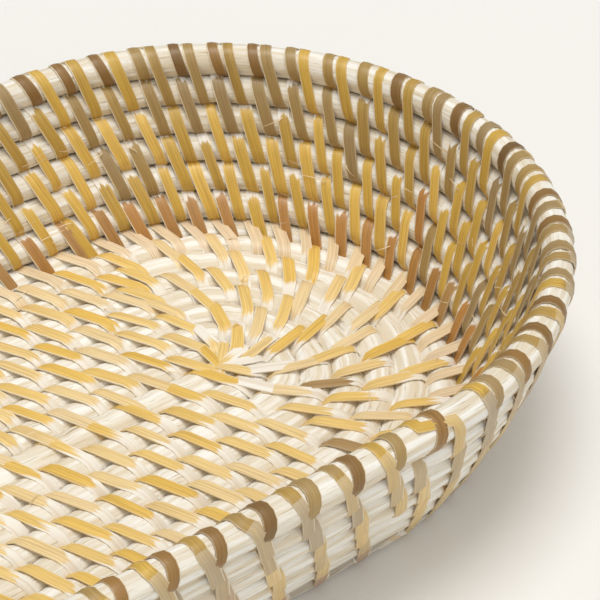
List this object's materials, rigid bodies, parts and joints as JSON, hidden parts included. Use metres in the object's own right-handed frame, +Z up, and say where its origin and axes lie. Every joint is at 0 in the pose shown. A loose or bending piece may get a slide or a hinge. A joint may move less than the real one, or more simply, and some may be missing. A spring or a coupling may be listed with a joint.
{
  "type": "oval coiled basket",
  "caption": "Shallow oval basket: a cane core coiled from a flat oval base up a steep wall, lashed row to row with slanting strips of peel.",
  "frame": {"origin": "middle of the underside, on the plane that the basket rests on", "axes": "+X along the oval's length, +Y across it, +Z up out of the mouth"},
  "size_m": [0.2872, 0.1764, 0.0535],
  "materials": {
    "whitewashed_core": "matt white wash over fibrous cane",
    "peel_strip": "satin golden peel, wash left on its ends",
    "rim_strip": "satin tan and brown peel"
  },
  "bodies": {
    "root": {"core_rim": "whitewashed_core", "core_start": "whitewashed_core", "core_tail": "whitewashed_core", "core_turn_01": "whitewashed_core", "core_turn_02": "whitewashed_core", "core_turn_03": "whitewashed_core", "core_turn_04": "whitewashed_core", "core_turn_05": "whitewashed_core", "core_turn_06": "whitewashed_core", "core_turn_07": "whitewashed_core", "core_turn_08": "whitewashed_core", "core_turn_09": "whitewashed_core", "core_turn_10": "whitewashed_core", "core_turn_11": "whitewashed_core", "core_turn_12": "whitewashed_core", "core_turn_13": "whitewashed_core", "lashing_row_01": "peel_strip", "lashing_row_02": "peel_strip", "lashing_row_03": "peel_strip", "lashing_row_04": "peel_strip", "lashing_row_05": "peel_strip", "lashing_row_06": "peel_strip", "lashing_row_07": "peel_strip", "lashing_row_08": "peel_strip", "lashing_row_09": "peel_strip", "lashing_row_10": "peel_strip", "lashing_row_11": "peel_strip", "lashing_row_12": "peel_strip", "lashing_row_13": "peel_strip", "lashing_row_14": "rim_strip", "lashing_tail": "rim_strip", "rim_short_wraps": "rim_strip"}
  },
  "joints": []
}
